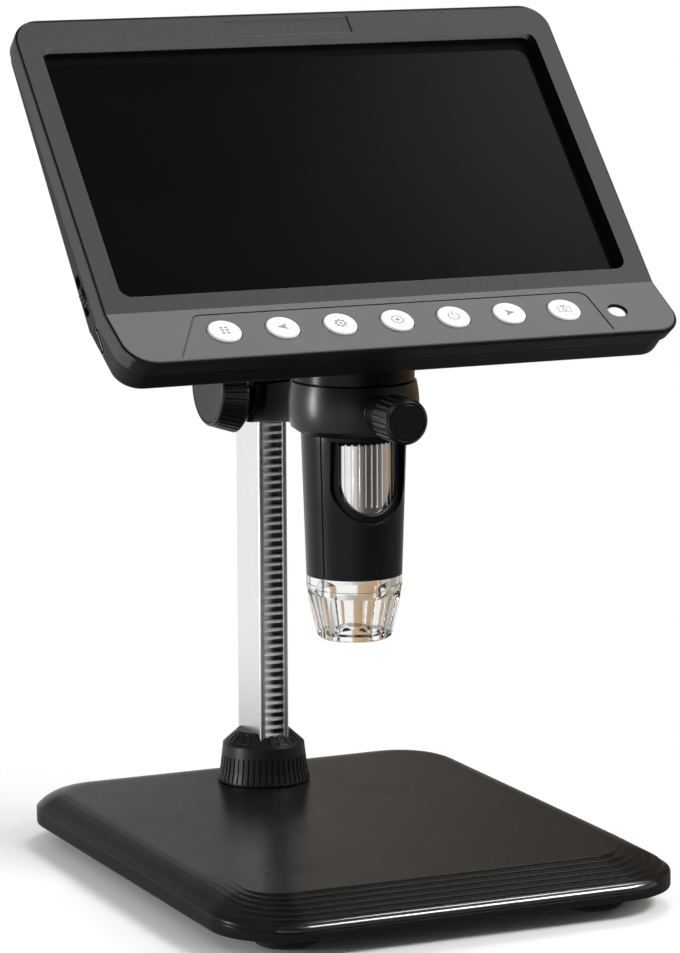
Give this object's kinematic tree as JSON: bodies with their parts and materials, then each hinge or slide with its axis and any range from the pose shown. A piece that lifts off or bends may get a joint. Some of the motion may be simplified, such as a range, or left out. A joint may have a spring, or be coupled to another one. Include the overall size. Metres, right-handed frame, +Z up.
{
  "type": "lcd digital microscope",
  "caption": "Desk microscope: a tilted flat display joined to a vertical camera barrel with a focus wheel, held in a ring on a rack column over a flat rounded base.",
  "frame": {"origin": "on the table plane under the middle of the base", "axes": "+Z up, +Y to the back where the column stands, -Y to the user, +X to the user's right"},
  "size_m": [0.1704, 0.174, 0.2486],
  "materials": {
    "stand_black": "satin black powder coat",
    "cap_black": "satin black",
    "arm_black": "satin black, lightly grained",
    "case_grey": "dark grey, fine grain",
    "shell_black": "near-black, fine grain",
    "barrel_black": "satin black",
    "button_white": "white, semi-gloss, printed symbol",
    "lens_white": "frosted white light guide",
    "aluminium": "bright drawn aluminium",
    "steel": "zinc-plated steel",
    "rack_steel": "cut steel",
    "knob_disc": "spun grey disc",
    "wheel_chrome": "bright chrome plating",
    "rubber": "black rubber",
    "clear_nose": "clear moulded acrylic",
    "optic_glass": "coated optical glass",
    "screen_glass": "black display glass, polished",
    "backlight": "display backlight frame",
    "board_green": "circuit board",
    "chip_black": "moulded chip",
    "led_yellow": "white light-emitting diode",
    "battery_foil": "foil pouch cell",
    "bronze": "sintered bronze",
    "insert_brass": "turned brass",
    "liner": "low-friction liner strip",
    "flex_amber": "amber flexible circuit"
  },
  "bodies": {
    "stand": {"base_cover": "stand_black", "base_plate": "stand_black", "base_feet": "rubber", "base_screws": "steel", "column": "aluminium", "rack": "rack_steel", "column_cap": "cap_black", "column_socket": "cap_black", "column_bolt": "steel"},
    "lock_nut": {"column_nut": "cap_black"},
    "carriage": {"carriage_housing": "arm_black", "slide_liner": "liner", "left_bush": "bronze", "right_bush": "bronze", "clamp_insert": "insert_brass"},
    "pinion": {"pinion_shaft": "rack_steel", "height_knob": "arm_black", "knob_cap": "knob_disc", "shaft_clip": "steel"},
    "clamp": {"clamp_knob": "arm_black", "clamp_stud": "steel"},
    "head": {"barrel_shell": "barrel_black", "lens_guide": "barrel_black", "wheel_retainer": "barrel_black", "nose_cone": "clear_nose", "led_board": "board_green", "leds": "led_yellow", "sensor_mount": "barrel_black", "sensor_board": "board_green", "image_sensor": "chip_black", "front_bezel": "case_grey", "rear_shell": "shell_black", "lcd_glass": "screen_glass", "lcd_backlight": "backlight", "main_board": "board_green", "battery_pack": "battery_foil", "button_board": "board_green", "tact_switches": "chip_black", "status_lens": "lens_white", "usb_port": "steel", "card_slot": "steel", "case_screws": "steel", "neck_housing": "barrel_black", "neck_screws": "steel", "neck_bolts": "steel", "flex_cable": "flex_amber", "dial_pin": "steel"},
    "focus": {"focus_wheel": "wheel_chrome"},
    "lens": {"lens_cell": "barrel_black", "cam_pins": "steel", "objective_lens": "optic_glass", "relay_lens": "optic_glass"},
    "dial": {"brightness_dial": "cap_black"},
    "button_menu": {"button_menu": "button_white"},
    "button_left": {"button_left": "button_white"},
    "button_settings": {"button_settings": "button_white"},
    "button_ok": {"button_ok": "button_white"},
    "button_power": {"button_power": "button_white"},
    "button_right": {"button_right": "button_white"},
    "button_camera": {"button_camera": "button_white"}
  },
  "joints": [
    {"name": "carriage_slide", "type": "slide", "parent": "stand", "child": "carriage", "axis": [0, 0, 1], "range_m": [-0.044, 0.028]},
    {"name": "pinion_spin", "type": "hinge", "parent": "carriage", "child": "pinion", "pos_m": [0, 0.04734, 0.1388], "axis": [1, 0, 0], "range_deg": [-290, 455]},
    {"name": "head_swivel", "type": "hinge", "parent": "carriage", "child": "head", "pos_m": [0, -0.008, 0.13895], "axis": [0, 0, 1], "range_deg": [-30, 30]},
    {"name": "clamp_turn", "type": "hinge", "parent": "carriage", "child": "clamp", "pos_m": [0, -0.008, 0.13895], "axis": [0, -1, 0], "range_deg": [0, 360]},
    {"name": "nut_turn", "type": "hinge", "parent": "stand", "child": "lock_nut", "pos_m": [0, 0.0592, 0.02], "axis": [0, 0, 1], "range_deg": [0, 180]},
    {"name": "focus_turn", "type": "hinge", "parent": "head", "child": "focus", "pos_m": [0, -0.008, 0.118], "axis": [0, 0, 1], "range_deg": [-38, 229]},
    {"name": "lens_slide", "type": "slide", "parent": "head", "child": "lens", "axis": [0, 0, 1], "range_m": [-0.002, 0.012]},
    {"name": "dial_turn", "type": "hinge", "parent": "head", "child": "dial", "pos_m": [-0.07735, -0.01185, 0.17558], "axis": [0, -0.7294, 0.684], "range_deg": [-150, 150]},
    {"name": "press_menu", "type": "slide", "parent": "head", "child": "button_menu", "axis": [0, -0.4813, 0.8766], "range_m": [-0.0005, 0], "stiffness_N_per_m": 300, "springref_m": 0.0003},
    {"name": "press_left", "type": "slide", "parent": "head", "child": "button_left", "axis": [0, -0.4813, 0.8766], "range_m": [-0.0005, 0], "stiffness_N_per_m": 300, "springref_m": 0.0003},
    {"name": "press_settings", "type": "slide", "parent": "head", "child": "button_settings", "axis": [0, -0.4813, 0.8766], "range_m": [-0.0005, 0], "stiffness_N_per_m": 300, "springref_m": 0.0003},
    {"name": "press_ok", "type": "slide", "parent": "head", "child": "button_ok", "axis": [0, -0.4813, 0.8766], "range_m": [-0.0005, 0], "stiffness_N_per_m": 300, "springref_m": 0.0003},
    {"name": "press_power", "type": "slide", "parent": "head", "child": "button_power", "axis": [0, -0.4813, 0.8766], "range_m": [-0.0005, 0], "stiffness_N_per_m": 300, "springref_m": 0.0003},
    {"name": "press_right", "type": "slide", "parent": "head", "child": "button_right", "axis": [0, -0.4813, 0.8766], "range_m": [-0.0005, 0], "stiffness_N_per_m": 300, "springref_m": 0.0003},
    {"name": "press_camera", "type": "slide", "parent": "head", "child": "button_camera", "axis": [0, -0.4813, 0.8766], "range_m": [-0.0005, 0], "stiffness_N_per_m": 300, "springref_m": 0.0003}
  ],
  "couplings": [
    {"joint": "pinion_spin", "follows": "carriage_slide", "rad_per_m": -178.57},
    {"joint": "lens_slide", "follows": "focus_turn", "m_per_rad": 0.003}
  ]
}
